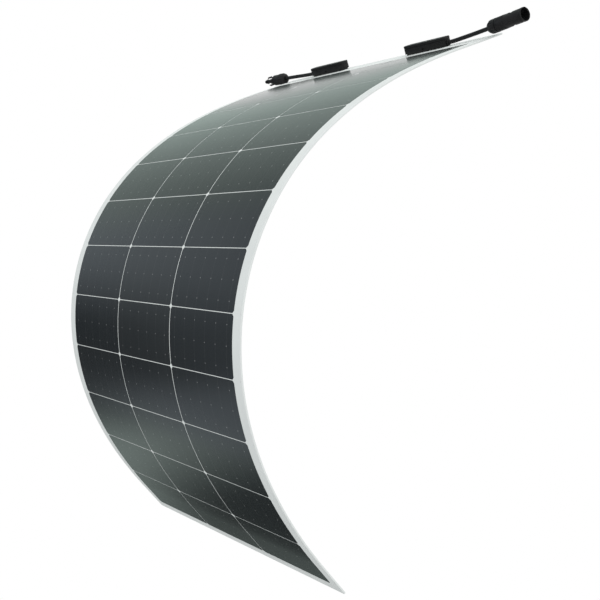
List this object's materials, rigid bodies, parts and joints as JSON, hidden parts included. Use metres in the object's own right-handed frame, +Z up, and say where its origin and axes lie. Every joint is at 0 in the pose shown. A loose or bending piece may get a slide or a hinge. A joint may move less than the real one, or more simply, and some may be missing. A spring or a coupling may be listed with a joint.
{
  "type": "flexible solar sheet",
  "caption": "Flexible laminated solar sheet held in a curve, with low junction boxes on one margin and a short cable with a connector on each box.",
  "frame": {"origin": "centre of the back face of the cell row nearest the junction boxes, the face that is bonded down", "axes": "+Z up in the curved rest pose, +X across the sheet along its bend lines, +Y towards the box end"},
  "size_m": [0.671, 0.4665, 0.8164],
  "materials": {
    "back_sheet": "satin white fibre-reinforced polymer sheet",
    "solar_cells": "dark blue-grey anti-reflective silicon cell with fine silver grid",
    "front_film": "clear glossy fluoropolymer film",
    "adhesive_foam": "black closed-cell foam tape",
    "cable_jacket": "black cross-linked cable jacket, slightly glossy",
    "tinned_copper": "tinned copper",
    "diode_case": "moulded black epoxy",
    "seal_rubber": "black rubber",
    "connector_plastic": "fine-textured black plastic",
    "box_plastic": "fine-textured black plastic"
  },
  "bodies": {
    "row_01": {"back_sheet_row_01": "back_sheet", "cells_row_01": "solar_cells", "coupler_body": "connector_plastic", "coupler_cable": "cable_jacket", "coupler_contact_pin": "tinned_copper", "front_film_row_01": "front_film", "left_box_adhesive_pad": "adhesive_foam", "left_box_bypass_diode": "diode_case", "left_box_cable_terminal": "tinned_copper", "left_box_housing": "box_plastic", "left_box_lid": "box_plastic", "left_box_string_terminal": "tinned_copper", "plug_body": "connector_plastic", "plug_cable": "cable_jacket", "plug_contact_socket": "tinned_copper", "plug_nose_seal": "seal_rubber", "right_box_adhesive_pad": "adhesive_foam", "right_box_bypass_diode": "diode_case", "right_box_cable_terminal": "tinned_copper", "right_box_housing": "box_plastic", "right_box_lid": "box_plastic", "right_box_string_terminal": "tinned_copper", "string_bus_ribbon": "tinned_copper"},
    "row_02": {"back_sheet_row_02": "back_sheet", "cells_row_02": "solar_cells", "front_film_row_02": "front_film"},
    "row_03": {"back_sheet_row_03": "back_sheet", "cells_row_03": "solar_cells", "front_film_row_03": "front_film"},
    "row_04": {"back_sheet_row_04": "back_sheet", "cells_row_04": "solar_cells", "front_film_row_04": "front_film"},
    "row_05": {"back_sheet_row_05": "back_sheet", "cells_row_05": "solar_cells", "front_film_row_05": "front_film"},
    "row_06": {"back_sheet_row_06": "back_sheet", "cells_row_06": "solar_cells", "front_film_row_06": "front_film"},
    "row_07": {"back_sheet_row_07": "back_sheet", "cells_row_07": "solar_cells", "front_film_row_07": "front_film"},
    "row_08": {"back_sheet_row_08": "back_sheet", "cells_row_08": "solar_cells", "front_film_row_08": "front_film"},
    "row_09": {"back_sheet_row_09": "back_sheet", "cells_row_09": "solar_cells", "front_film_row_09": "front_film"},
    "row_10": {"back_sheet_row_10": "back_sheet", "cells_row_10": "solar_cells", "front_film_row_10": "front_film"},
    "row_11": {"back_sheet_row_11": "back_sheet", "cells_row_11": "solar_cells", "front_film_row_11": "front_film"},
    "row_12": {"back_sheet_row_12": "back_sheet", "cells_row_12": "solar_cells", "front_film_row_12": "front_film"},
    "latch_arm_upper": {"plug_latch_arm_upper": "connector_plastic"},
    "latch_arm_lower": {"plug_latch_arm_lower": "connector_plastic"},
    "plug_nut": {"plug_gland_nut": "connector_plastic"},
    "coupler_nut": {"coupler_gland_nut": "connector_plastic"}
  },
  "joints": [
    {"name": "bend_01", "type": "hinge", "parent": "row_01", "child": "row_02", "pos_m": [0, -0.04032, -0.0135], "axis": [1, 0, 0], "range_deg": [-3.98, 1.51]},
    {"name": "bend_02", "type": "hinge", "parent": "row_02", "child": "row_03", "pos_m": [0, -0.11787, -0.0483], "axis": [1, 0, 0], "range_deg": [-5.98, 2.27]},
    {"name": "bend_03", "type": "hinge", "parent": "row_03", "child": "row_04", "pos_m": [0, -0.19137, -0.09098], "axis": [1, 0, 0], "range_deg": [-8.32, 3.16]},
    {"name": "bend_04", "type": "hinge", "parent": "row_04", "child": "row_05", "pos_m": [0, -0.25794, -0.14385], "axis": [1, 0, 0], "range_deg": [-10.7, 4.06]},
    {"name": "bend_05", "type": "hinge", "parent": "row_05", "child": "row_06", "pos_m": [0, -0.31354, -0.20814], "axis": [1, 0, 0], "range_deg": [-12.71, 4.82]},
    {"name": "bend_06", "type": "hinge", "parent": "row_06", "child": "row_07", "pos_m": [0, -0.35364, -0.28309], "axis": [1, 0, 0], "range_deg": [-13.95, 5.29]},
    {"name": "bend_07", "type": "hinge", "parent": "row_07", "child": "row_08", "pos_m": [0, -0.3745, -0.36548], "axis": [1, 0, 0], "range_deg": [-14.14, 5.36]},
    {"name": "bend_08", "type": "hinge", "parent": "row_08", "child": "row_09", "pos_m": [0, -0.3746, -0.45048], "axis": [1, 0, 0], "range_deg": [-13.27, 5.03]},
    {"name": "bend_09", "type": "hinge", "parent": "row_09", "child": "row_10", "pos_m": [0, -0.35521, -0.53324], "axis": [1, 0, 0], "range_deg": [-11.49, 4.36]},
    {"name": "bend_10", "type": "hinge", "parent": "row_10", "child": "row_11", "pos_m": [0, -0.31973, -0.61049], "axis": [1, 0, 0], "range_deg": [-9.2, 3.49]},
    {"name": "bend_11", "type": "hinge", "parent": "row_11", "child": "row_12", "pos_m": [0, -0.27238, -0.68108], "axis": [1, 0, 0], "range_deg": [-6.8, 2.58]},
    {"name": "plug_latch_upper", "type": "hinge", "parent": "row_01", "child": "latch_arm_upper", "pos_m": [-0.30281, 0.06583, 0.04408], "axis": [0, -0.9385, -0.3453], "range_deg": [0, 3], "stiffness_Nm_per_rad": 0.6},
    {"name": "plug_latch_lower", "type": "hinge", "parent": "row_01", "child": "latch_arm_lower", "pos_m": [-0.30317, 0.07052, 0.03133], "axis": [0, 0.9385, 0.3453], "range_deg": [0, 3], "stiffness_Nm_per_rad": 0.6},
    {"name": "plug_gland_nut_turn", "type": "hinge", "parent": "row_01", "child": "plug_nut", "pos_m": [-0.2754, 0.06842, 0.03703], "axis": [0.9997, 0.009, -0.0246], "range_deg": [0, 330]},
    {"name": "coupler_gland_nut_turn", "type": "hinge", "parent": "row_01", "child": "coupler_nut", "pos_m": [0.27225, 0.06688, 0.04123], "axis": [-0.9942, 0.0373, -0.1014], "range_deg": [0, 330]}
  ],
  "couplings": [
    {"joint": "bend_01", "follows": "bend_07", "ratio": 0.28052},
    {"joint": "bend_02", "follows": "bend_07", "ratio": 0.42247},
    {"joint": "bend_03", "follows": "bend_07", "ratio": 0.58789},
    {"joint": "bend_04", "follows": "bend_07", "ratio": 0.75591},
    {"joint": "bend_05", "follows": "bend_07", "ratio": 0.89807},
    {"joint": "bend_06", "follows": "bend_07", "ratio": 0.98587},
    {"joint": "bend_08", "follows": "bend_07", "ratio": 0.93724},
    {"joint": "bend_09", "follows": "bend_07", "ratio": 0.81165},
    {"joint": "bend_10", "follows": "bend_07", "ratio": 0.64947},
    {"joint": "bend_11", "follows": "bend_07", "ratio": 0.48019}
  ]
}
